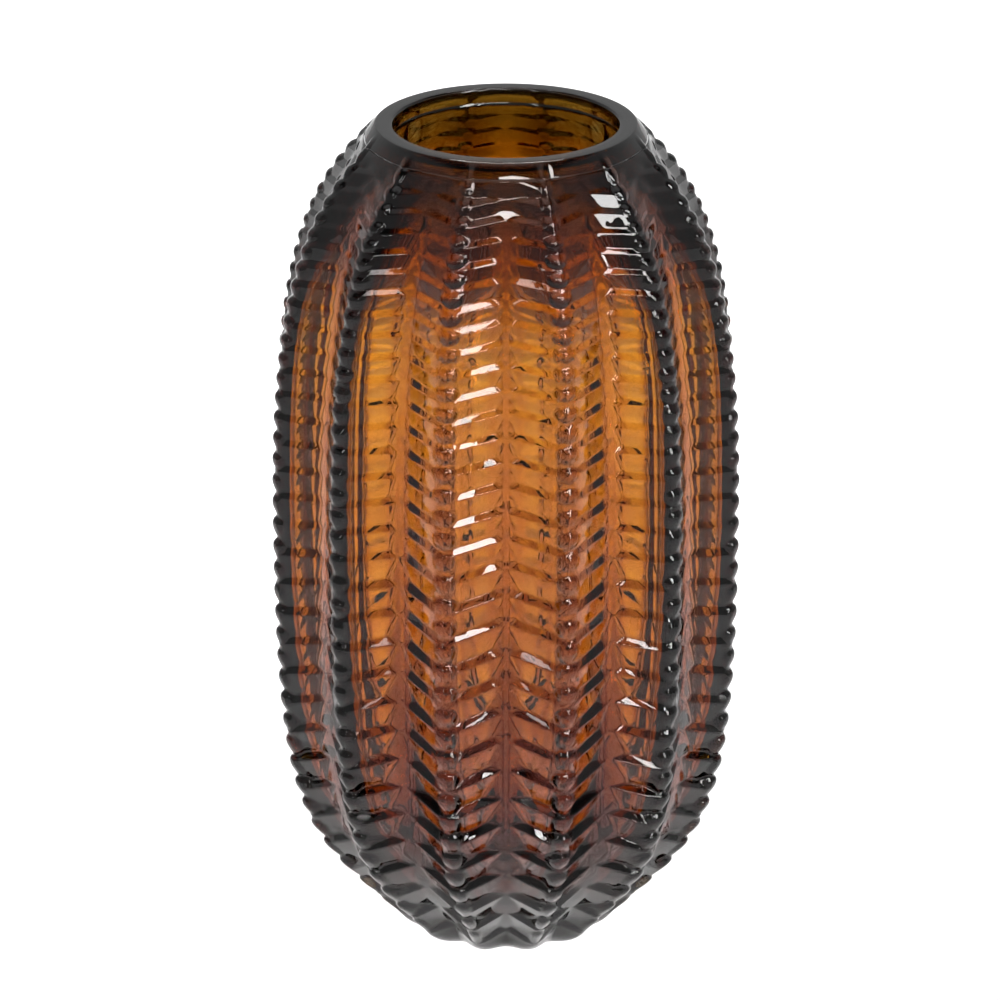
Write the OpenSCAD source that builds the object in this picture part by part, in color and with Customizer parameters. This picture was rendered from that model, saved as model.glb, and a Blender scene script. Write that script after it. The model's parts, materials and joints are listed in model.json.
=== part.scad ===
// Hand blown art glass vase: a barrel of amber glass with twelve pressed ribs.
// Origin: centre of the flat foot, +Z up through the mouth. Millimetres.

/* [Overall size] */
// Height from the foot to the top of the mouth
height = 290; // [270:1:310]
// Width over two opposite rib crests at the widest height
belly_d = 164; // [158:1:174]
// Height of the widest ring above the foot
belly_z = 164; // [154:1:170]
// Width over two opposite rib crests at the foot
foot_d = 66; // [62:1:76]

/* [Ribs] */
// Number of ribs round the body
rib_count = 12; // [10:1:16]
// Depth of the valleys between ribs at the widest height
rib_depth = 11; // [6:0.5:12]
// Depth of the valleys between ribs at the foot
foot_depth = 8; // [5:0.5:9]
// Width of the rounded crest of each rib
crest_w = 4.5; // [2:0.5:6]
// Width of the narrow gutter at the bottom of each valley
valley_w = 2.4; // [1:0.2:4]
// Distance below the mouth ring over which the ribs rise to full depth
rib_fade = 80; // [60:1:90]
// Extra depth of the valleys just below the mouth ring
neck_depth = 4; // [0:0.5:5]

/* [Mouth ring] */
// Outside width of the ground top face
mouth_od = 88; // [84:1:92]
// Bore of the mouth
mouth_id = 76; // [70:1:78]
// Height of the ring
lip_h = 5; // [4:0.5:8]
// Width of the small bevel on the ring's inner top edge
lip_bevel = 0.6; // [0.3:0.1:1]

/* [Inside and base] */
// Widest bore of the hollow
hollow_d = 128; // [120:1:129]
// Thickness of the glass under the hollow
floor_t = 18; // [14:1:24]
// Thickness of the inner bubble's wall
bubble_t = 2.4; // [1.6:0.2:3]
// Width of the heavy pad of glass in the middle of the base
pad_d = 44; // [36:1:46]
// Width of the shallow polished dish under the base
dish_d = 26; // [16:1:30]
// Depth of that dish
dish_h = 1.2; // [0.6:0.2:2]

/* [Hidden] */

amber = [0.62, 0.33, 0.05, 0.75];
deep_amber = [0.42, 0.20, 0.05, 0.85];
smoke = [0.33, 0.33, 0.33, 0.9];

// Slope of the outside at the mouth and at the foot, and of the hollow under the mouth ring, in degrees.
end_angle = 45;
neck_angle = 70;
// How far each end of the outside pulls on its curve, as shares of the sizes above.
shoulder_pull = 0.70 * (height - belly_z);
rim_pull = 0.22 * (height - belly_z);
flank_pull = 0.76 * belly_z;
foot_pull = 0.345 * belly_z;
// The same for the hollow, which narrows early to a thick-walled neck and whose floor is a wide bowl.
hollow_shoulder_pull = 0.70 * (height - belly_z);
neck_pull = 0.40 * (height - belly_z);
hollow_flank_pull = 0.80 * belly_z;
floor_share = 0.75;
// How quickly the ribs rise under the mouth ring: 1 is even, more is quicker.
rib_rise = 1.5;
// The extra depth grows over this distance, starting this far above the ring's foot, and is gone by neck_reach.
neck_grow = 16;
neck_lead = 6;
neck_reach = 70;
rows_above = 20;
rows_below = 24;

pitch = 360 / rib_count;
shoulder_z = height - lip_h;
belly_r = belly_d / 2;
foot_r = foot_d / 2;
mouth_r = mouth_id / 2;
pad_r = pad_d / 2;
// The pad's cylinder ends inside the hollow, so that the hollow's bowl trims its top.
pad_top = floor_t + 2;

function bezier(p, t) = pow(1 - t, 3) * p[0] + 3 * pow(1 - t, 2) * t * p[1]
    + 3 * (1 - t) * pow(t, 2) * p[2] + pow(t, 3) * p[3];
function lean(r, z, pull, angle) = [r + pull * cos(angle), z + pull * sin(angle)];
function smooth(t) = let (u = max(0, min(1, t))) u * u * (3 - 2 * u);

// Outline of the rib crests from the foot to the mouth, as [radius, height].
lower_curve = [
    [foot_r, 0],
    lean(foot_r, 0, foot_pull, end_angle),
    [belly_r, belly_z - flank_pull],
    [belly_r, belly_z]
];
upper_curve = [
    [belly_r, belly_z],
    [belly_r, belly_z + shoulder_pull],
    lean(mouth_od / 2, height, rim_pull, -end_angle),
    [mouth_od / 2, height]
];

// The upper curve is cut where the mouth ring starts.
function height_on(p, z, low = 0, high = 1, steps = 30) = steps == 0
    ? low
    : let (mid = (low + high) / 2) bezier(p, mid)[1] < z
        ? height_on(p, z, mid, high, steps - 1)
        : height_on(p, z, low, mid, steps - 1);
t_shoulder = height_on(upper_curve, shoulder_z);
crest_line = concat(
    [for (i = [0 : rows_below - 1]) bezier(lower_curve, i / rows_below)],
    [for (i = [0 : rows_above]) bezier(upper_curve, t_shoulder * i / rows_above)]
);

// Depth of the valleys at a height: slight at the mouth ring, full at the belly, less at the foot.
function neck_extra(down) =
    neck_depth * smooth((down + neck_lead) / neck_grow) * (1 - smooth(down / neck_reach));
function depth_at(z) = z > belly_z
    ? rib_depth * (1 - pow(1 - smooth((shoulder_z - z) / rib_fade), rib_rise)) + neck_extra(shoulder_z - z)
    : foot_depth + (rib_depth - foot_depth) * smooth(z / belly_z);

// Half widths of a crest and of a valley's gutter, in degrees round the axis.
function crest_half(r) = crest_w / 2 / r * 180 / PI;
function valley_half(r, d) = valley_w / 2 / (r - d) * 180 / PI;

// Radius at an angle away from the middle of a crest: the crest, then a straight facet down to the gutter,
// which turns into a plain circle where the ribs fade out.
function rib_r(a, r, d) =
    let (
        c = crest_half(r),
        g = pitch / 2 - valley_half(r, d),
        u = max(0, min(1, (a - c) / (g - c))) * (g - c),
        v = r - d,
        flat = r * v * sin(g - c) / (r * sin(u) + v * sin(g - c - u)),
        k = min(1, d / 4)
    )
    k * flat + (1 - k) * (r - d * u / (g - c));

// Angles of one rib's columns, from the valley behind it to the valley ahead of it.
function rib_angles(r, d) =
    let (gutter = pitch / 2 - valley_half(r, d), crest = crest_half(r), mid = pitch / 4)
    [-gutter, -mid, -crest, crest, mid, gutter];

function ring(r, z) =
    let (d = depth_at(z))
    [
        for (i = [0 : rib_count - 1], a = rib_angles(r, d))
            let (s = rib_r(abs(a), r, d), turn = (i + 0.5) * pitch + a - 90)
            [s * cos(turn), s * sin(turn), z]
    ];

// A closed solid through a stack of rings that all have the same number of points, with flat ends on the axis.
module stack(rings) {
    rows = len(rings);
    n = len(rings[0]);
    low_middle = rows * n;
    high_middle = low_middle + 1;
    polyhedron(
        points = concat(
            [for (row = rings) each row],
            [[0, 0, rings[0][0][2]], [0, 0, rings[rows - 1][0][2]]]
        ),
        faces = [
            for (i = [0 : n - 1])
                let (k = (i + 1) % n, top = (rows - 1) * n)
                each concat(
                    [[low_middle, i, k], [high_middle, top + k, top + i]],
                    [
                        for (j = [0 : rows - 2])
                            each [
                                [j * n + i, (j + 1) * n + i, (j + 1) * n + k],
                                [j * n + i, (j + 1) * n + k, j * n + k]
                            ]
                    ]
                )
        ],
        convexity = 4
    );
}

// Half outline of the hollow, grown outwards by t all round, from the middle of its floor to the mouth ring.
function hollow_outline(t) =
    let (
        low = floor_t - t,
        r = hollow_d / 2 + t,
        neck = mouth_r + t,
        down = [[0, low], [r * floor_share, low], [r, belly_z - hollow_flank_pull], [r, belly_z]],
        up = [
            [r, belly_z],
            [r, belly_z + hollow_shoulder_pull],
            lean(neck, shoulder_z, neck_pull, -neck_angle),
            [neck, shoulder_z]
        ]
    )
    concat(
        [for (i = [0 : 17]) bezier(down, i / 18)],
        [for (i = [0 : 14]) bezier(up, i / 14)]
    );

module hollow(t, extra = 0) {
    rotate_extrude($fn = 96)
        polygon(concat(
            hollow_outline(t),
            [[mouth_r + t, shoulder_z + extra], [0, shoulder_z + extra]]
        ));
}

module rib_casing() {
    color(amber)
        difference() {
            stack([for (p = crest_line) ring(p[0], p[1])]);
            hollow(bubble_t, 1);
            translate([0, 0, -1])
                cylinder(r = pad_r, h = pad_top + 1, $fn = 96);
        }
}

module inner_bubble() {
    color(deep_amber)
        difference() {
            hollow(bubble_t);
            hollow(0, 1);
        }
}

module base_pad() {
    dish_r = (pow(dish_d / 2, 2) + pow(dish_h, 2)) / (2 * dish_h);
    color(smoke)
        difference() {
            cylinder(r = pad_r, h = pad_top, $fn = 96);
            hollow(bubble_t, 1);
            translate([0, 0, dish_h - dish_r])
                sphere(r = dish_r, $fn = 96);
        }
}

module rim_lip() {
    lip_line = [for (i = [0 : 4]) bezier(upper_curve, t_shoulder + (1 - t_shoulder) * i / 4)];
    color(smoke)
        difference() {
            rotate_extrude($fn = 96)
                polygon(concat([[0, shoulder_z]], lip_line, [[0, height]]));
            translate([0, 0, shoulder_z - 1])
                cylinder(r = mouth_r, h = lip_h + 2, $fn = 96);
            translate([0, 0, height - lip_bevel])
                cylinder(r1 = mouth_r, r2 = mouth_r + lip_bevel * 2, h = lip_bevel * 2, $fn = 96);
        }
}

rib_casing();
inner_bubble();
base_pad();
rim_lip();
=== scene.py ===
"""Hand blown art glass vase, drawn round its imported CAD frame.

As in the CAD, the foot's centre is the origin and +Z is up, and the valley between two ribs faces -Y, towards
the camera. Outlines and the pressed pattern are worked out in millimetres, and the scene is in metres.
The vase is one mass of amber glass, made of the same four masses as the CAD: the ribbed casing, the bubble
inside it, the pad in the base and the ground mouth ring. Their outer faces are glass, and where two of them
are fused the touching faces are clear seams, so light passes from one to the next as through one piece.
"""

import json
from math import cos, pi, radians, sin

import bpy
import numpy as np
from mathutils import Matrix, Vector


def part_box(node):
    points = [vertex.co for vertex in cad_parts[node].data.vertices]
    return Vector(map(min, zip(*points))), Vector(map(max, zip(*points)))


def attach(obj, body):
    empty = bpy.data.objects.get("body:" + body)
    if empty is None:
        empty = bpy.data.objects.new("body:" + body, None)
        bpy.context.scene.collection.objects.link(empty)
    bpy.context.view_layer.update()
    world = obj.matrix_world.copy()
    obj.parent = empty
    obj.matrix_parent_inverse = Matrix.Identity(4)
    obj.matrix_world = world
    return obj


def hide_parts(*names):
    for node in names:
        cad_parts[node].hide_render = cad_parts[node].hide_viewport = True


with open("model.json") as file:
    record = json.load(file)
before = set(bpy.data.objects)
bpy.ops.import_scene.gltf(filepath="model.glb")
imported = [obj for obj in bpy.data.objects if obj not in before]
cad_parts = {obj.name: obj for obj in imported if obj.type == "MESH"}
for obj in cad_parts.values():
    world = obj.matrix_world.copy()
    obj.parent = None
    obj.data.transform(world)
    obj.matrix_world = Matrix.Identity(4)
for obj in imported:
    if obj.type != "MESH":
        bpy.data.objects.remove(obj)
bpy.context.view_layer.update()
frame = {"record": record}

MM = 0.001

# ---------------------------------------------------------------- driving sizes, in millimetres

RIM_LOW, RIM_HIGH = (np.array(c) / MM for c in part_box("rim_lip"))
PAD_HIGH = np.array(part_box("base_pad")[1]) / MM
MOUTH = next(m for m in frame["record"]["mounts"] if m["name"] == "mouth")

HEIGHT = RIM_HIGH[2]
SHOULDER_Z = RIM_LOW[2]
MOUTH_R = MOUTH["dims"]["r_mm"]
PAD_R = PAD_HIGH[0]

# The other sizes that the CAD is drawn from.
RIBS = 12
CREST_W = 4.5
GUTTER_W = 2.4
BELLY_R = 82.0
BELLY_Z = 164.0
FOOT_R = 33.0
MOUTH_OUT_R = 44.0
RIB_DEPTH = 11.0
FOOT_DEPTH = 8.0
RIB_FADE = 80.0
RIB_RISE = 1.5
HOLLOW_R = 64.0
FLOOR_Z = 18.0
BUBBLE_T = 2.4
DISH_R = 13.0
DISH_H = 1.2
BEVEL = 0.6
END_ANGLE = radians(45)
NECK_ANGLE = radians(70)
# Extra depth of the valleys just below the mouth ring. It grows over a distance, starting a little above the
# ring's foot, and is gone by its reach.
NECK_DEPTH, NECK_GROW, NECK_LEAD, NECK_REACH = 4.0, 16, 6, 70
# Where the outlines' curves are pulled to, as shares of the belly's height or, above it, of the height left.
FOOT_PULL, FLANK_START, SHOULDER_PULL, RIM_PULL = 0.345, 0.24, 0.70, 0.22
HOLLOW_FLANK_START, HOLLOW_SHOULDER_PULL, NECK_PULL = 0.2, 0.70, 0.40
# How far out the floor's curve is pulled, level with its middle, as a share of the hollow's radius.
FLOOR_SHARE = 0.75
# Valleys at least this deep have flat facets, and shallower ones turn round.
FLAT_DEPTH = 4

# The gap left where two masses are fused, so that their faces never touch.
SEAM_GAP = 0.02
PITCH = 2 * pi / RIBS
UPPER = HEIGHT - BELLY_Z


def bezier(points, t):
    """Points of a cubic curve, as radius and height."""
    p = np.array(points, float)
    t = np.asarray(t, float)[:, None]
    return (1 - t) ** 3 * p[0] + 3 * (1 - t) ** 2 * t * p[1] + 3 * (1 - t) * t**2 * p[2] + t**3 * p[3]


def lean(r, z, pull, angle):
    """The place that lies a distance from another, at an angle over the level."""
    return (r + pull * cos(angle), z + pull * sin(angle))


def smooth(t):
    """A soft step from 0 to 1."""
    t = np.clip(t, 0, 1)
    return t * t * (3 - 2 * t)


def mix(a, b, t):
    return a + (b - a) * t


def smooth_min(a, b, k):
    """The lesser of two, rounded where they cross over a width of k."""
    h = np.clip(0.5 + 0.5 * (b - a) / k, 0, 1)
    return mix(b, a, h) - k * h * (1 - h)


# ---------------------------------------------------------------- outlines, the same as the CAD's

LOWER_CURVE = [
    (FOOT_R, 0),
    lean(FOOT_R, 0, FOOT_PULL * BELLY_Z, END_ANGLE),
    (BELLY_R, FLANK_START * BELLY_Z),
    (BELLY_R, BELLY_Z),
]
UPPER_CURVE = [
    (BELLY_R, BELLY_Z),
    (BELLY_R, BELLY_Z + SHOULDER_PULL * UPPER),
    lean(MOUTH_OUT_R, HEIGHT, RIM_PULL * UPPER, -END_ANGLE),
    (MOUTH_OUT_R, HEIGHT),
]
DENSE = np.linspace(0, 1, 400)
CREST_LINE = np.vstack([bezier(LOWER_CURVE, DENSE), bezier(UPPER_CURVE, DENSE[1:])])


def crest_r(z):
    return np.interp(z, CREST_LINE[:, 1], CREST_LINE[:, 0])


def depth_at(z):
    """Depth of the valleys: slight at the mouth ring, full at the belly and less at the foot."""
    down = SHOULDER_Z - z
    above = RIB_DEPTH * (1 - (1 - smooth(down / RIB_FADE)) ** RIB_RISE)
    above = above + NECK_DEPTH * smooth((down + NECK_LEAD) / NECK_GROW) * (1 - smooth(down / NECK_REACH))
    below = mix(FOOT_DEPTH, RIB_DEPTH, smooth(z / BELLY_Z))
    return np.where(z > BELLY_Z, above, below)


HOLLOW_RINGS_BELOW, HOLLOW_RINGS_ABOVE = 70, 60


def hollow_line(grown):
    """Outline of the hollow, grown outwards, from the middle of its floor to the mouth ring."""
    r, low, neck = HOLLOW_R + grown, FLOOR_Z - grown, MOUTH_R + grown
    floor = bezier([
        (0, low),
        (FLOOR_SHARE * r, low),
        (r, HOLLOW_FLANK_START * BELLY_Z),
        (r, BELLY_Z),
    ], np.linspace(0, 1, HOLLOW_RINGS_BELOW))
    shoulder = bezier([
        (r, BELLY_Z),
        (r, BELLY_Z + HOLLOW_SHOULDER_PULL * UPPER),
        lean(neck, SHOULDER_Z, NECK_PULL * UPPER, -NECK_ANGLE),
        (neck, SHOULDER_Z),
    ], np.linspace(0, 1, HOLLOW_RINGS_ABOVE))
    return np.vstack([floor, shoulder[1:]])


# ---------------------------------------------------------------- the pressed pattern, in millimetres

# Heights of one pleat and one bead right under the mouth ring and low down, and how far down they keep growing.
PLEAT_TOP, PLEAT_LOW, PLEAT_TURN = 5.6, 10.6, 150.0
BEAD_TOP, BEAD_LOW, BEAD_TURN = 5.0, 8.0, 125.0
# How far a pleat's face leans in before its ledge, near the mouth and low down, and the heights between which
# it changes.
PLEAT_DEPTH_TOP, PLEAT_DEPTH_LOW = 0.95, 3.2
PLEAT_DEPTH_FROM, PLEAT_DEPTH_OVER = 65, 115
# The ledge's share of a pleat's height, and the rows of points on a pleat's face and on its ledge.
LEDGE = 0.28
ROWS_A_FACE, ROWS_A_LEDGE = 10, 7
# Pleats start over some height above the foot and end over another below the mouth ring.
PLEAT_START, PLEAT_START_OVER, PLEAT_END_OVER = 2, 8, 2
# The pleats differ in strength as in hand work. Each row of them takes one strength at the valleys and another
# at the crests, and there are more strengths than rows.
SEED = 5
STRENGTH_LEAST, STRENGTH_MOST, STRENGTHS = 0.45, 1.2, 90
LAST_PLEAT = 80
# How much lower a pleat lies at the crests than at the valleys, the heights between which that changes, and the
# most it can be, as shares of the distance left to the foot and to the mouth ring.
DROP_TOP, DROP_LOW = 1.6, 6.0
DROP_FROM, DROP_OVER = 60, 170
DROP_SHARE_FOOT, DROP_SHARE_MOUTH = 0.45, 0.8
# The row of beads along each crest: its half width, how far it stands out, and the notches between beads.
BEAD_HALF = 3.6
BEAD_PROUD = 1.0
NOTCH = 1.8
# How a bead bulges along the crest: 1 is even, and less is fuller near its upper end.
BEAD_BULGE = 0.62
# How much the crest narrows between beads, how much deeper a notch is at the crest's sides, and the heights
# over which the notches start at the foot and end at the mouth ring.
NOTCH_NARROWS, NOTCH_DEEPENS = 0.35, 0.3
BEAD_START, BEAD_START_OVER, BEAD_END_OVER = 1, 6, 1.5
# How the row of beads falls away to its sides: a rounded fall, then a quicker one between two places across.
CAP_FALL, CAP_FALL_POWER = 1.1, 1.5
CAP_EDGE_FALL, CAP_EDGE_FROM, CAP_EDGE_OVER = 3, 0.8, 0.6
# The widths over which faces are rounded into each other.
FACET_BLEND, EDGE_BLEND = 1.0, 0.4
# The pattern is narrower where the vase is, down to this share of its full width.
FULL_SCALE_R, LEAST_SCALE = 70, 0.6
# How far the finer columns reach beyond the beads and to the sides of a gutter's middle.
CREST_MARGIN, GUTTER_ZONE = 1.4, 1.6
CREST_COLUMNS, FACET_COLUMNS, GUTTER_COLUMNS = 10, 12, 4
# The ribs round off at the foot to a share of their depth and are full at this height, and the foot's edge is
# rounded over a height and in by a share of it.
FOOT_SOFT, FOOT_FULL = 0.45, 14
FOOT_ROUND, FOOT_ROUND_IN = 4.0, 0.6


def steps_below(z, top, low, turn):
    """How many steps of the pattern lie between the mouth ring and a height.
    A step is `top` tall at the mouth ring, grows evenly to `low` over `turn`, and stays so."""
    down = SHOULDER_Z - np.asarray(z, float)
    grow = (low - top) / turn
    first = np.log1p(grow * np.clip(down, 0, turn) / top) / grow
    return first + np.maximum(down - turn, 0) / low


def row_heights():
    """Heights of the casing's rows from the foot to the mouth ring, the same places in each pleat."""
    z = np.linspace(0, SHOULDER_Z, 4000)
    count = steps_below(z, PLEAT_TOP, PLEAT_LOW, PLEAT_TURN)
    face = np.linspace(0, 1 - LEDGE, ROWS_A_FACE + 1)[:-1]
    ledge = np.linspace(1 - LEDGE, 1, ROWS_A_LEDGE + 1)[:-1]
    one = np.concatenate([face, ledge])
    steps = (np.arange(int(count[0]) + 1)[:, None] + one[None, :]).ravel()[::-1]
    levels = np.interp(-steps[steps <= count[0]], -count, z)
    return np.concatenate([[0.0], levels[levels > 0.2]])


def columns():
    """The columns of one rib: a side, -1 or 1, with a place from 0 at the crest's middle to 1 at the edge
    of the crest's zone, to 2 at the edge of the gutter's zone, to 3 in the gutter's middle."""
    crest = np.linspace(0, 1, CREST_COLUMNS)
    facet = np.linspace(1, 2, FACET_COLUMNS)[1:]
    gutter = np.linspace(2, 3, GUTTER_COLUMNS)[1:]
    half = np.concatenate([crest, facet, gutter])
    return np.concatenate([-half[:0:-1], half[:-1]])


def pattern_scale(r):
    return np.clip(r / FULL_SCALE_R, LEAST_SCALE, 1)


def column_angles(z, place):
    """Angles from the crest's middle at a height: the columns, the crest's edge and the gutter's edge."""
    r, d = crest_r(z), depth_at(z)
    scale = pattern_scale(r)
    crest_zone = (BEAD_HALF + CREST_MARGIN) * scale / r
    gutter_zone = PITCH / 2 - GUTTER_ZONE * scale / (r - d)
    on_facet = mix(crest_zone, gutter_zone, place - 1)
    in_gutter = mix(gutter_zone, PITCH / 2, place - 2)
    a = np.where(place <= 1, place * crest_zone, np.where(place <= 2, on_facet, in_gutter))
    crest_edge = CREST_W / 2 * scale / r
    gutter_edge = PITCH / 2 - GUTTER_W / 2 * scale / (r - d)
    return a, crest_edge, gutter_edge


def pleats(z, rise):
    """How far the pleats go in: each face leans in going down, then a narrow ledge brings it out again."""
    rng = np.random.default_rng(SEED)
    by_valley = rng.uniform(STRENGTH_LEAST, STRENGTH_MOST, STRENGTHS)
    by_crest = rng.uniform(STRENGTH_LEAST, STRENGTH_MOST, STRENGTHS)
    step = steps_below(z, PLEAT_TOP, PLEAT_LOW, PLEAT_TURN)
    index = np.clip(np.ceil(step - 1e-6).astype(int), 0, LAST_PLEAT)
    part = step - (index - 1)
    strength = mix(by_crest[index], by_valley[index], rise)
    lean_in = np.clip(part / (1 - LEDGE), 0, 1)
    come_out = np.clip((part - (1 - LEDGE)) / LEDGE, 0, 1)
    higher = smooth((z - PLEAT_DEPTH_FROM) / PLEAT_DEPTH_OVER)
    depth = mix(PLEAT_DEPTH_LOW, PLEAT_DEPTH_TOP, higher) * strength
    near_foot = (z - PLEAT_START) / PLEAT_START_OVER
    near_mouth = (SHOULDER_Z - z) / PLEAT_END_OVER
    near_ends = np.clip(np.minimum(near_foot, near_mouth), 0, 1)
    return depth * near_ends * (lean_in - come_out)


def bead_row(z, r, scale, a):
    """Radius of the row of beads along a crest."""
    bead = steps_below(z, BEAD_TOP, BEAD_LOW, BEAD_TURN)
    bulge = np.sin(pi * (bead % 1) ** BEAD_BULGE)
    near_foot = (z - BEAD_START) / BEAD_START_OVER
    near_mouth = (SHOULDER_Z - z) / BEAD_END_OVER
    between = (1 - bulge) * np.clip(np.minimum(near_foot, near_mouth), 0, 1)
    across = a * r / scale / BEAD_HALF * (1 + NOTCH_NARROWS * between)
    notch = NOTCH * scale * between * (1 + NOTCH_DEEPENS * across**2)
    edge = CAP_EDGE_FALL * smooth((across - CAP_EDGE_FROM) / CAP_EDGE_OVER)
    return r - notch - CAP_FALL * across**CAP_FALL_POWER - edge


def casing_rows():
    """The casing's outer face as rows by columns of x, y, z, and the columns' angles round the axis."""
    z0 = row_heights()[:, None]
    place = np.tile(columns(), RIBS)[None, :]
    centre = (np.repeat(np.arange(RIBS), len(columns()))[None, :] + 0.5) * PITCH - pi / 2
    side, place = np.sign(place), np.abs(place)

    # Each row drops from the valleys to the crests, so the pleats lie in chevrons.
    a, crest_edge, gutter_edge = column_angles(z0, place)
    rise = np.clip((a - crest_edge) / (gutter_edge - crest_edge), 0, 1)
    drop = mix(DROP_LOW, DROP_TOP, smooth((z0 - DROP_FROM) / DROP_OVER))
    most = np.minimum(DROP_SHARE_FOOT * z0, DROP_SHARE_MOUTH * (SHOULDER_Z - z0))
    z = z0 - np.minimum(drop, most) * (1 - rise)

    # Facet: straight from the crest down to the gutter, with its pleats.
    r, d = crest_r(z), depth_at(z)
    scale = pattern_scale(r)
    a, crest_edge, gutter_edge = column_angles(z, place)
    v = r - d
    width = gutter_edge - crest_edge
    chord = r * v * np.sin(width) / (r * np.sin(a - crest_edge) + v * np.sin(gutter_edge - a))
    round_side = r - d * np.clip((a - crest_edge) / width, 0, 1)
    facet = mix(round_side, chord, np.clip(d / FLAT_DEPTH, 0, 1)) - BEAD_PROUD * scale * (1 - rise)
    facet = smooth_min(facet, r - BEAD_PROUD * scale, FACET_BLEND)
    facet = facet - pleats(z0, rise)

    # Crest: a row of beads that stands a little proud of the two facets, and plain lobes at the foot.
    proud = -smooth_min(-facet, -bead_row(z, r, scale, a), EDGE_BLEND)
    lobe = r - FOOT_SOFT * d * (1 - np.cos(2 * pi * a / PITCH)) / 2
    outside = mix(lobe, proud, smooth(z / FOOT_FULL))

    # Gutter: a narrow flat strip along the bottom of each valley, and a rounded edge round the foot.
    outside = -smooth_min(-outside, -v, EDGE_BLEND)
    under = np.clip((FOOT_ROUND - z) / FOOT_ROUND, 0, 1)
    outside = outside - FOOT_ROUND_IN * FOOT_ROUND * (1 - np.sqrt(1 - under**2))
    theta = centre + side * a
    grid = np.stack([outside * np.cos(theta), outside * np.sin(theta), z], axis=-1)
    return grid, theta


# ---------------------------------------------------------------- meshes

# How deep the hollow's flutes are, as a share of the ribs' depth, and where they start and how they grow.
FLUTE = 0.9
FLUTE_START, FLUTE_GROW = 20, 50
# How near the flutes come to straight sides that run parallel to the facets: 1 is a sharp zigzag.
FLUTE_SHARP = 0.93


def flute(z):
    """How far the hollow swells under a crest: a share of the ribs' depth, so the wall is of nearly even
    thickness."""
    from_floor = smooth((z - FLUTE_START) / FLUTE_GROW)
    from_mouth = smooth((SHOULDER_Z - z) / FLUTE_GROW)
    return FLUTE * depth_at(z) * from_floor * from_mouth


def circle(r, z, theta):
    """One ring of points, at a radius that may change round it."""
    return np.stack([r * np.cos(theta), r * np.sin(theta), np.full_like(theta, z)], axis=-1)


def hollow_rings(grown, theta, skip=0):
    """Rings of the hollow's wall, with soft flutes that follow the ribs."""
    wave = np.arcsin(FLUTE_SHARP * np.cos(RIBS * (theta + pi / 2))) / np.arcsin(FLUTE_SHARP)
    rings = []
    for r, z in hollow_line(grown)[skip:]:
        swell = flute(z) * (1 - wave) / 2
        rings.append(circle(r + swell, z, theta))
    return rings


def joined(arrays):
    return np.concatenate(arrays) if arrays else np.zeros(0, int)


def skin(name, bands, loop=False):
    """A mesh through bands of rings. Each band is (fused, rings), and a ring of one point is a pole. The faces
    that end on a band's rings are fused to the next piece where fused is 1. A loop joins its last ring to its
    first."""
    points, starts, sizes, fused = [], [], [], []
    total = 0
    for band_fused, rings in bands:
        for ring in rings:
            points.append(ring)
            starts.append(total)
            sizes.append(len(ring))
            fused.append(band_fused)
            total += len(ring)
    quads, tris, quad_fused, tri_fused = [], [], [], []
    count = len(starts)
    for k in range(count if loop else count - 1):
        following = (k + 1) % count
        a, b = starts[k], starts[following]
        n, m = sizes[k], sizes[following]
        i = np.arange(max(n, m))
        j = np.roll(i, -1)
        if n == m:
            quads.append(np.stack([a + i, a + j, b + j, b + i], axis=-1))
            quad_fused.append(np.full(n, fused[following]))
        elif n == 1:
            tris.append(np.stack([np.full(m, a), b + j, b + i], axis=-1))
            tri_fused.append(np.full(m, fused[following]))
        else:
            tris.append(np.stack([a + i, a + j, np.full(n, b)], axis=-1))
            tri_fused.append(np.full(n, fused[following]))
    verts = np.concatenate(points) * MM
    quads = joined(quads).reshape(-1, 4)
    tris = joined(tris).reshape(-1, 3)
    face_fused = np.concatenate([joined(quad_fused), joined(tri_fused)])
    corners = np.concatenate([quads.ravel(), tris.ravel()])
    loop_start = np.concatenate([np.arange(len(quads)) * 4, quads.size + np.arange(len(tris)) * 3])

    mesh = bpy.data.meshes.new(name)
    mesh.vertices.add(len(verts))
    mesh.vertices.foreach_set("co", verts.astype(np.float32).ravel())
    mesh.loops.add(len(corners))
    mesh.loops.foreach_set("vertex_index", corners.astype(np.int32))
    mesh.polygons.add(len(loop_start))
    mesh.polygons.foreach_set("loop_start", loop_start.astype(np.int32))
    attribute = mesh.attributes.new("fused", "FLOAT", "FACE")
    attribute.data.foreach_set("value", face_fused.astype(np.float32))
    mesh.polygons.foreach_set("use_smooth", np.ones(len(loop_start), bool))
    mesh.update(calc_edges=True)
    mesh.validate()

    # The four-sided faces hold nearly all of the volume, so their sign says which way the mesh faces.
    a, b, c, d = (verts[quads[:, k]] for k in range(4))
    volume = (np.cross(a, b) * c).sum() + (np.cross(a, c) * d).sum()
    if volume < 0:
        mesh.flip_normals()
    obj = bpy.data.objects.new(name, mesh)
    bpy.context.scene.collection.objects.link(obj)
    return obj


# ---------------------------------------------------------------- materials

# What a metre of the glass takes out of red, green and blue light, as the exponent of its fading.
FADING = (116.0, 225.0, 560.0)
GLASS_IOR = 1.5
# Height in metres of the faint waves that hot working leaves.
WAVE_HEIGHT = 0.0006
# Painted shade: the glass's colour is tinted dark close under the mouth, standing in for the dark that light
# through the thick shoulders gives, and these are the heights in metres over which it comes in. Whether a
# real vase is dyed darker there or only looks it is a guess.
CLEAR = (1, 1, 1, 1)
PAINTED_SHADE = (0.18, 0.22, 0.30, 1)
PAINTED_SHADE_FROM, PAINTED_SHADE_TO = 0.250, 0.278


def new_material(name):
    m = bpy.data.materials.new(name)
    m.use_nodes = True
    m.node_tree.nodes.clear()
    return m, m.node_tree.nodes, m.node_tree.links


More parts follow.
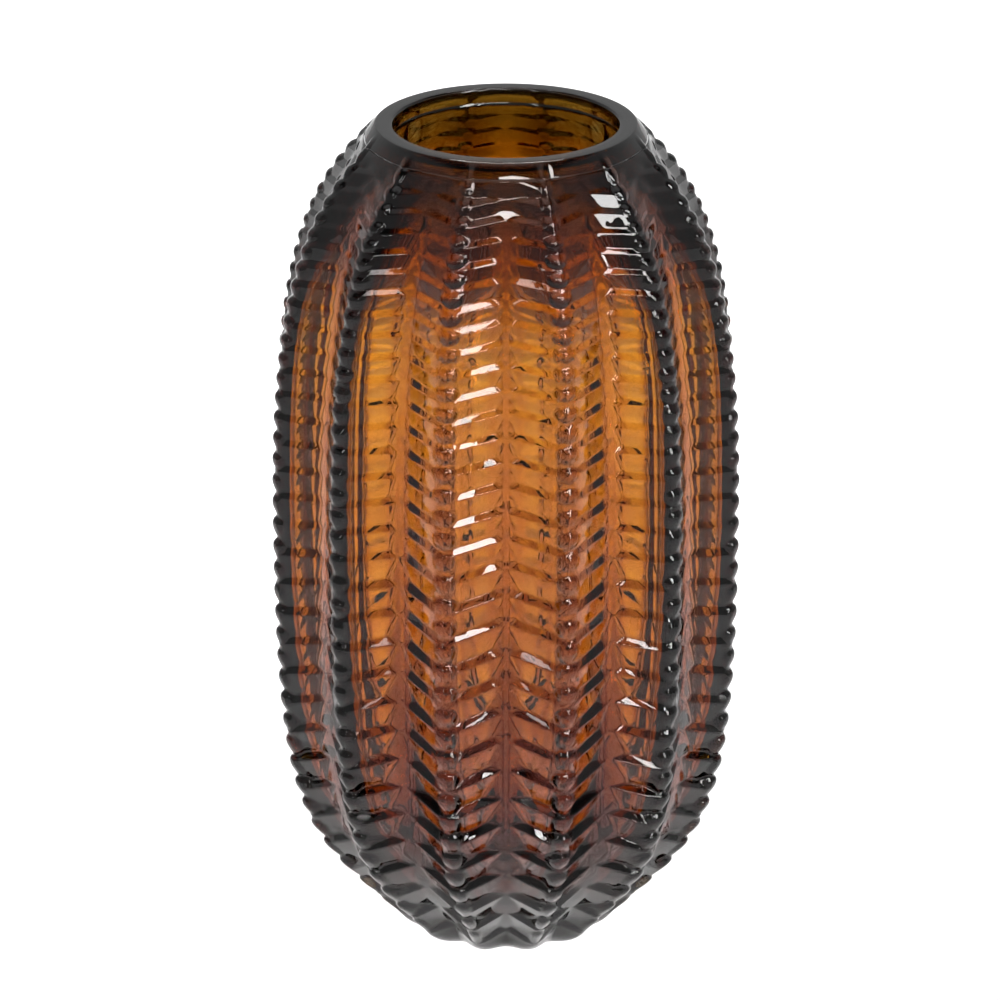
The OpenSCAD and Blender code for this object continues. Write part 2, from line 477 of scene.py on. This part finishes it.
def add_painted_shade(nodes, links, place, shader):
    """Paints shade into the glass's colour: it turns darker close under the mouth."""
    split = nodes.new("ShaderNodeSeparateXYZ")
    links.new(place.outputs["Object"], split.inputs[0])
    upper = nodes.new("ShaderNodeMapRange")
    upper.interpolation_type = "SMOOTHSTEP"
    upper.inputs["From Min"].default_value = PAINTED_SHADE_FROM
    upper.inputs["From Max"].default_value = PAINTED_SHADE_TO
    links.new(split.outputs["Z"], upper.inputs["Value"])
    shade_tint = nodes.new("ShaderNodeMix")
    shade_tint.data_type = "RGBA"
    shade_tint.inputs["A"].default_value = CLEAR
    shade_tint.inputs["B"].default_value = PAINTED_SHADE
    links.new(upper.outputs["Result"], shade_tint.inputs["Factor"])
    links.new(shade_tint.outputs["Result"], shader.inputs["Base Color"])


def glass(name, wave=0.25, wave_scale=60.0, rough=(0.0, 0.008), with_painted_shade=False):
    """Amber glass with the faint waves of a hot surface. Where a face is fused to the next mass of the same
    glass nothing bends or reflects, so it is clear there. Painted shade darkens its colour close under the
    mouth."""
    m, nodes, links = new_material(name)
    out = nodes.new("ShaderNodeOutputMaterial")
    shader = nodes.new("ShaderNodeBsdfPrincipled")
    shader.inputs["Base Color"].default_value = CLEAR
    shader.inputs["Transmission Weight"].default_value = 1
    shader.inputs["IOR"].default_value = GLASS_IOR
    place = nodes.new("ShaderNodeTexCoord")
    waves = nodes.new("ShaderNodeTexNoise")
    waves.inputs["Scale"].default_value = wave_scale
    waves.inputs["Detail"].default_value = 3
    links.new(place.outputs["Object"], waves.inputs["Vector"])
    bump = nodes.new("ShaderNodeBump")
    bump.inputs["Strength"].default_value = wave
    bump.inputs["Distance"].default_value = WAVE_HEIGHT
    links.new(waves.outputs["Fac"], bump.inputs["Height"])
    links.new(bump.outputs[0], shader.inputs["Normal"])
    spread = nodes.new("ShaderNodeMapRange")
    spread.inputs["To Min"].default_value, spread.inputs["To Max"].default_value = rough
    links.new(waves.outputs["Fac"], spread.inputs["Value"])
    links.new(spread.outputs[0], shader.inputs["Roughness"])
    # Painted shade: the colour turns darker close under the mouth.
    if with_painted_shade:
        add_painted_shade(nodes, links, place, shader)
    fused = nodes.new("ShaderNodeAttribute")
    fused.attribute_name = "fused"
    clear = nodes.new("ShaderNodeBsdfTransparent")
    either = nodes.new("ShaderNodeMixShader")
    links.new(fused.outputs["Fac"], either.inputs[0])
    links.new(shader.outputs[0], either.inputs[1])
    links.new(clear.outputs[0], either.inputs[2])
    links.new(either.outputs[0], out.inputs["Surface"])
    volume = nodes.new("ShaderNodeVolumeAbsorption")
    volume.inputs["Color"].default_value = [1 - f / max(FADING) for f in FADING] + [1]
    volume.inputs["Density"].default_value = max(FADING)
    links.new(volume.outputs[0], out.inputs["Volume"])
    return m


# ---------------------------------------------------------------- pieces

BUBBLE_COLUMNS = 288
PAD_COLUMNS = 144
PAD_RINGS = 8
RIM_RINGS = 10
# Radius of the first ring round the middle of the pad's top and of its dish.
PAD_FIRST_R = 2
# The pad's ground face has a ring this far inside its edge.
PAD_EDGE = 0.3
# The casing's wall round the pad starts this far under the hollow's outline.
PAD_WALL_DROP = 0.4
# The ribs run out on the ring's outer face this far below its top, and not quite evenly.
RUN_OUT_END, RUN_OUT_POWER = 0.6, 1.2
# The ring's outer face ends this far below its top, and its ground edge is rounded by these steps.
RIM_EDGE = 0.35
EDGE_STEPS = ((0.15, -0.15), (-0.1, -0.03), (-0.3, 0))

outer_grid, theta_rows = casing_rows()
# The casing's inner wall starts with the first ring of the hollow's outline that is outside the pad.
SKIP = int(np.argmax(hollow_line(BUBBLE_T)[:, 0] > PAD_R + 0.5))


def turn(count):
    """Angles of evenly spaced columns once round the axis."""
    return np.linspace(0, 2 * pi, count, endpoint=False)


def pole(z):
    return np.array([[0, 0, z]])


def finish_piece(obj, node, material):
    obj.data.materials.append(material)
    obj.visible_shadow = False
    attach(obj, "root")
    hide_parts(node)


def make_casing():
    theta = theta_rows[len(theta_rows) // 2]
    inner = hollow_rings(BUBBLE_T + SEAM_GAP, theta, SKIP)[::-1]
    wall_top = inner[-1][0][2] - PAD_WALL_DROP
    wall_r = PAD_R + SEAM_GAP
    bands = [
        (0, list(outer_grid)),
        (1, inner),
        (1, [circle(wall_r, wall_top, theta), circle(wall_r, 0, theta)]),
    ]
    obj = skin("ribbed_casing", bands, loop=True)
    # The casing's glass takes painted shade close under the mouth.
    finish_piece(obj, "rib_casing", glass("pressed_amber_glass", with_painted_shade=True))


def make_bubble():
    theta = turn(BUBBLE_COLUMNS)
    inside = hollow_rings(0, theta, 1)
    outside = hollow_rings(BUBBLE_T, theta, 1)[::-1]
    bands = [(0, [pole(FLOOR_Z)] + inside), (1, outside + [pole(FLOOR_Z - BUBBLE_T)])]
    obj = skin("smooth_bubble", bands)
    # The bubble's glass takes painted shade close under the mouth.
    finish_piece(obj, "inner_bubble", glass("blown_amber_glass", 0.3, 35, with_painted_shade=True))


def make_pad():
    theta = turn(PAD_COLUMNS)
    line = hollow_line(BUBBLE_T + SEAM_GAP)
    top = []
    for r in np.linspace(PAD_R, PAD_FIRST_R, PAD_RINGS):
        top.append(circle(r, np.interp(r, line[:, 0], line[:, 1]), theta))
    sphere_r = (DISH_R**2 + DISH_H**2) / (2 * DISH_H)
    dish = []
    for r in np.linspace(PAD_FIRST_R, DISH_R, PAD_RINGS):
        dish.append(circle(r, DISH_H - sphere_r + (sphere_r**2 - r**2) ** 0.5, theta))
    ground = [circle(PAD_R - PAD_EDGE, 0, theta), circle(PAD_R, 0.0, theta)]
    bands = [
        (0, [pole(DISH_H)] + dish + ground),
        (1, top + [pole(line[0, 1])]),
    ]
    obj = skin("base_pad_glass", bands)
    finish_piece(obj, "base_pad", glass("ground_base_glass", 0.15, 90, (0.02, 0.12)))


def make_rim():
    # The ribs of the casing's top row run out over the ring's outer face.
    theta = theta_rows[-1]
    foot_z = SHOULDER_Z + SEAM_GAP
    rib_top = np.hypot(outer_grid[-1][:, 0], outer_grid[-1][:, 1]) - crest_r(SHOULDER_Z)
    outer = []
    for z in np.linspace(foot_z, HEIGHT - RIM_EDGE, RIM_RINGS):
        left = (HEIGHT - RUN_OUT_END - z) / (HEIGHT - RUN_OUT_END - SHOULDER_Z)
        outer.append(circle(crest_r(z) + rib_top * max(0, left) ** RUN_OUT_POWER, z, theta))
    edge = [circle(MOUTH_OUT_R + r, HEIGHT + z, theta) for r, z in EDGE_STEPS]
    top = [circle(mix(MOUTH_OUT_R, MOUTH_R, t), HEIGHT, theta) for t in (0.3, 0.6)]
    bevel = [circle(MOUTH_R + BEVEL + 0.1, HEIGHT, theta), circle(MOUTH_R + BEVEL, HEIGHT - 0.02, theta)]
    bore = [circle(MOUTH_R, z, theta) for z in (HEIGHT - BEVEL, HEIGHT - BEVEL - 0.2, foot_z)]
    bands = [
        (1, outer[:1]),
        (0, outer[1:] + edge + top + bevel + bore),
        (1, [circle(MOUTH_R + BUBBLE_T, foot_z, theta)]),
    ]
    obj = skin("mouth_ring", bands, loop=True)
    # The ring's glass takes painted shade close under the mouth.
    polished = glass("polished_rim_glass", 0.05, 120, (0.0, 0.05), with_painted_shade=True)
    finish_piece(obj, "rim_lip", polished)


make_casing()
make_bubble()
make_pad()
make_rim()

# ---------------------------------------------------------------- floor, light and camera, in metres

scene = bpy.context.scene
scene.view_settings.view_transform = "Standard"
scene.cycles.max_bounces = 32
scene.cycles.transmission_bounces = 32
scene.cycles.glossy_bounces = 12
scene.cycles.transparent_max_bounces = 64

FLOOR_HALF = 6.0
FLOOR_DROP = 0.0002
PAPER = (0.9, 0.9, 0.9, 1)


def make_floor():
    """A pale floor just under the foot."""
    corners = [(x * FLOOR_HALF, y * FLOOR_HALF, 0) for x, y in ((-1, -1), (1, -1), (1, 1), (-1, 1))]
    mesh = bpy.data.meshes.new("floor")
    mesh.from_pydata(corners, [], [(0, 1, 2, 3)])
    floor = bpy.data.objects.new("floor", mesh)
    scene.collection.objects.link(floor)
    floor.location.z = -FLOOR_DROP
    m, nodes, links = new_material("pale_floor")
    out = nodes.new("ShaderNodeOutputMaterial")
    paper = nodes.new("ShaderNodeBsdfPrincipled")
    paper.inputs["Base Color"].default_value = PAPER
    paper.inputs["Roughness"].default_value = 0.9
    links.new(paper.outputs[0], out.inputs[0])
    mesh.materials.append(m)


# Brightness of the room by the sine of the height over the horizon: lit walls, a dark band over them and a
# bright ceiling.
ROOM = ((0.5, 1.0), (0.70, 0.85), (0.78, 0.14), (0.87, 0.14), (0.93, 2.0))
# The wall behind the vase is lit, and the room in front of it is dimmer. These are the two directions along Y
# between which that changes, and the strengths there.
FRONT_Y, BACK_Y = -0.2, 0.6
FRONT_LIGHT, BACK_LIGHT = 0.35, 0.5


def make_world():
    world = bpy.data.worlds.new("studio")
    scene.world = world
    world.use_nodes = True
    nodes, links = world.node_tree.nodes, world.node_tree.links
    nodes.clear()
    out = nodes.new("ShaderNodeOutputWorld")
    back = nodes.new("ShaderNodeBackground")
    place = nodes.new("ShaderNodeTexCoord")
    split = nodes.new("ShaderNodeSeparateXYZ")
    ramp = nodes.new("ShaderNodeValToRGB")
    links.new(place.outputs["Generated"], split.inputs[0])
    links.new(split.outputs["Z"], ramp.inputs[0])
    stops = ramp.color_ramp.elements
    for k, (height, level) in enumerate(ROOM):
        stop = stops.new(height) if k else stops[0]
        stop.position = height
        stop.color = (level, level, level, 1)
    stops.remove(stops[-1])
    links.new(ramp.outputs[0], back.inputs["Color"])
    ahead = nodes.new("ShaderNodeMapRange")
    ahead.inputs["From Min"].default_value = FRONT_Y
    ahead.inputs["From Max"].default_value = BACK_Y
    ahead.inputs["To Min"].default_value = FRONT_LIGHT
    ahead.inputs["To Max"].default_value = BACK_LIGHT
    links.new(split.outputs["Y"], ahead.inputs["Value"])
    links.new(ahead.outputs[0], back.inputs["Strength"])
    links.new(back.outputs[0], out.inputs[0])


# The softboxes shine at the vase's middle, all from the same distance.
VASE_MIDDLE = np.array([0, 0, 0.15])
SOFTBOX_AWAY = 2.0


def softbox(name, azimuth, elevation, width, height, power):
    """A soft light that shows on the glass alone and leaves the floor as it is. Azimuth 0 is on the camera's
    side, and it grows to the right."""
    data = bpy.data.lights.new(name, "AREA")
    data.shape = "RECTANGLE"
    data.size, data.size_y = width, height
    data.energy = power
    obj = bpy.data.objects.new(name, data)
    scene.collection.objects.link(obj)
    a, e = radians(azimuth), radians(elevation)
    away = np.array([sin(a) * cos(e), -cos(a) * cos(e), sin(e)])
    obj.location = VASE_MIDDLE + away * SOFTBOX_AWAY
    obj.rotation_euler = Vector(away).to_track_quat("Z", "Y").to_euler()
    obj.visible_diffuse = False


# Soft pools of light on the floor: an arc of them behind the vase, by azimuth and power. An even light from
# straight above joins them.
POOL_Z = 1.6
POOL_SOFTNESS = 0.1
POOL_ARC_R = 0.48
POOL_ARC_SPREAD = 20
POOL_ARC = ((180, 58), (207, 100), (153, 66), (232, 40), (128, 25))
EVEN_LIGHT = 1.5


def floor_only(obj):
    """Hides a lamp from the glass, so that it lights the floor and doesn't glint."""
    obj.visible_glossy = False
    obj.visible_transmission = False


def floor_pool(name, x, y, spread, power):
    """A soft pool of light on the floor alone, which the glass shows but which doesn't glint on it."""
    data = bpy.data.lights.new(name, "SPOT")
    data.energy = power
    data.spot_size = radians(spread)
    data.spot_blend = 1
    data.shadow_soft_size = POOL_SOFTNESS
    obj = bpy.data.objects.new(name, data)
    scene.collection.objects.link(obj)
    obj.location = (x, y, POOL_Z)
    floor_only(obj)


def make_lights():
    softbox("key_right", 43, 42, 0.35, 1.4, 26)
    softbox("strip_left", -32, 34, 0.12, 1.2, 3)
    softbox("strip_right", 28, 34, 0.08, 1.2, 5)
    softbox("top_back", 180, 60, 0.8, 0.4, 20)
    softbox("top_front", 10, 50, 0.7, 0.16, 7)
    softbox("window_right", 40, 9, 0.30, 0.20, 4)
    for k, (azimuth, power) in enumerate(POOL_ARC):
        a = radians(azimuth)
        floor_pool("pool_%d" % k, POOL_ARC_R * sin(a), -POOL_ARC_R * cos(a), POOL_ARC_SPREAD, power)
    floor_pool("pool_wide", 0.0, 0.42, 52, 78)
    floor_pool("pool_far", 0.0, 1.10, 50, 72)
    # An even light from straight above, which only the floor shows.
    even = bpy.data.objects.new("floor_light", bpy.data.lights.new("floor_light", "SUN"))
    even.data.energy = EVEN_LIGHT
    floor_only(even)
    scene.collection.objects.link(even)


# The camera looks down at the vase from the front: its height over the horizon, its distance, and the width of
# its picture at that distance.
ELEVATION = radians(20.6)
DISTANCE = 2.6
FIELD = 0.342
AIM = np.array([-0.002, 0, 0.1546])
SENSOR = 36
CLIP_END = 20


def make_camera():
    data = bpy.data.cameras.new("camera")
    camera = bpy.data.objects.new("camera", data)
    scene.collection.objects.link(camera)
    scene.camera = camera
    camera.location = AIM + DISTANCE * np.array([0, -cos(ELEVATION), sin(ELEVATION)])
    camera.rotation_euler = (pi / 2 - ELEVATION, 0, 0)
    data.sensor_width = SENSOR
    data.lens = SENSOR * DISTANCE / FIELD
    data.clip_end = CLIP_END


make_floor()
make_world()
make_lights()
make_camera()
